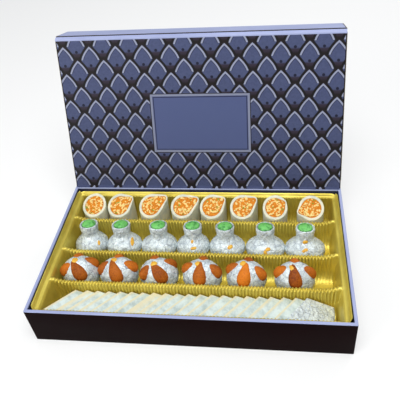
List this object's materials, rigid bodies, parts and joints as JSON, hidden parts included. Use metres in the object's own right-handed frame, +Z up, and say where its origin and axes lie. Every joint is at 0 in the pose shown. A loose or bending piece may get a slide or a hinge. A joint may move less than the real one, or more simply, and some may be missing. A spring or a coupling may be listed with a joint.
{
  "type": "mithai sweet box",
  "caption": "Rigid paper-wrapped sweet box with a hinged cover, a closing flap and a lift-out gold tray of fluted rows holding leafed Indian sweets.",
  "frame": {"origin": "centre of the underside of the base", "axes": "+X along the box, from left to right as it is opened; +Y away from the person who opens it, towards the cover's hinge; +Z up"},
  "size_m": [0.3, 0.2581, 0.2072],
  "materials": {
    "greyboard": "grey pulp board",
    "dark_wrap_paper": "matt laminated dark brown paper",
    "lavender_paper": "satin lavender paper",
    "printed_liner_paper": "satin paper printed with a scale pattern",
    "steel_keeper": "zinc plated",
    "magnet": "nickel plated",
    "gold_film": "gold metallised formed sheet",
    "cashew_shell": "soft cashew paste",
    "nut_filling": "chopped nuts in saffron paste",
    "silver_leaf": "edible silver leaf over sweet paste",
    "pistachio": "green pistachio paste",
    "almond": "almond skin",
    "silver_leaf_katli": "edible silver leaf over cashew paste"
  },
  "bodies": {
    "base": {"base_board": "greyboard", "base_wrap": "dark_wrap_paper", "base_bottom_paper": "dark_wrap_paper", "base_lining": "lavender_paper", "front_keepers": "steel_keeper"},
    "cover": {"cover_board": "greyboard", "cover_wrap": "dark_wrap_paper", "cover_liner": "printed_liner_paper", "hinge_strip": "lavender_paper"},
    "flap": {"flap_board": "greyboard", "flap_wrap": "dark_wrap_paper", "flap_lining": "lavender_paper", "flap_magnets": "magnet"},
    "tray": {"gold_tray": "gold_film"},
    "rolls": {"roll_1": "cashew_shell", "roll_2": "cashew_shell", "roll_3": "cashew_shell", "roll_4": "cashew_shell", "roll_5": "cashew_shell", "roll_6": "cashew_shell", "roll_7": "cashew_shell", "roll_8": "cashew_shell", "roll_fillings": "nut_filling"},
    "kalash": {"kalash_1": "silver_leaf", "kalash_2": "silver_leaf", "kalash_3": "silver_leaf", "kalash_4": "silver_leaf", "kalash_5": "silver_leaf", "kalash_6": "silver_leaf", "kalash_7": "silver_leaf", "pistachio_beads": "pistachio"},
    "almond_balls": {"almond_ball_1": "silver_leaf", "almond_ball_2": "silver_leaf", "almond_ball_3": "silver_leaf", "almond_ball_4": "silver_leaf", "almond_ball_5": "silver_leaf", "almond_ball_6": "silver_leaf", "almonds": "almond"},
    "katli": {"katli_1": "silver_leaf_katli", "katli_2": "silver_leaf_katli", "katli_3": "silver_leaf_katli", "katli_4": "silver_leaf_katli", "katli_5": "silver_leaf_katli", "katli_6": "silver_leaf_katli", "katli_7": "silver_leaf_katli", "katli_8": "silver_leaf_katli", "katli_9": "silver_leaf_katli", "katli_10": "silver_leaf_katli", "katli_11": "silver_leaf_katli", "katli_12": "silver_leaf_katli", "katli_13": "silver_leaf_katli", "katli_14": "silver_leaf_katli", "katli_15": "silver_leaf_katli", "katli_16": "silver_leaf_katli", "katli_17": "silver_leaf_katli", "katli_18": "silver_leaf_katli", "katli_19": "silver_leaf_katli", "katli_20": "silver_leaf_katli", "katli_21": "silver_leaf_katli"}
  },
  "joints": [
    {"name": "cover_hinge", "type": "hinge", "parent": "base", "child": "cover", "pos_m": [0, 0.084, 0.046], "axis": [-1, 0, 0], "range_deg": [-108.5, 71.5]},
    {"name": "flap_hinge", "type": "hinge", "parent": "cover", "child": "flap", "pos_m": [0, 0.13955, 0.20668], "axis": [1, 0, 0], "range_deg": [-10, 180]},
    {"name": "tray_lift", "type": "slide", "parent": "base", "child": "tray", "axis": [0, 0, 1], "range_m": [0, 0.06]},
    {"name": "rolls_lift", "type": "slide", "parent": "tray", "child": "rolls", "axis": [0, 0, 1], "range_m": [0, 0.05]},
    {"name": "kalash_lift", "type": "slide", "parent": "tray", "child": "kalash", "axis": [0, 0, 1], "range_m": [0, 0.05]},
    {"name": "almond_balls_lift", "type": "slide", "parent": "tray", "child": "almond_balls", "axis": [0, 0, 1], "range_m": [0, 0.05]},
    {"name": "katli_lift", "type": "slide", "parent": "tray", "child": "katli", "axis": [0, 0, 1], "range_m": [0, 0.05]}
  ]
}
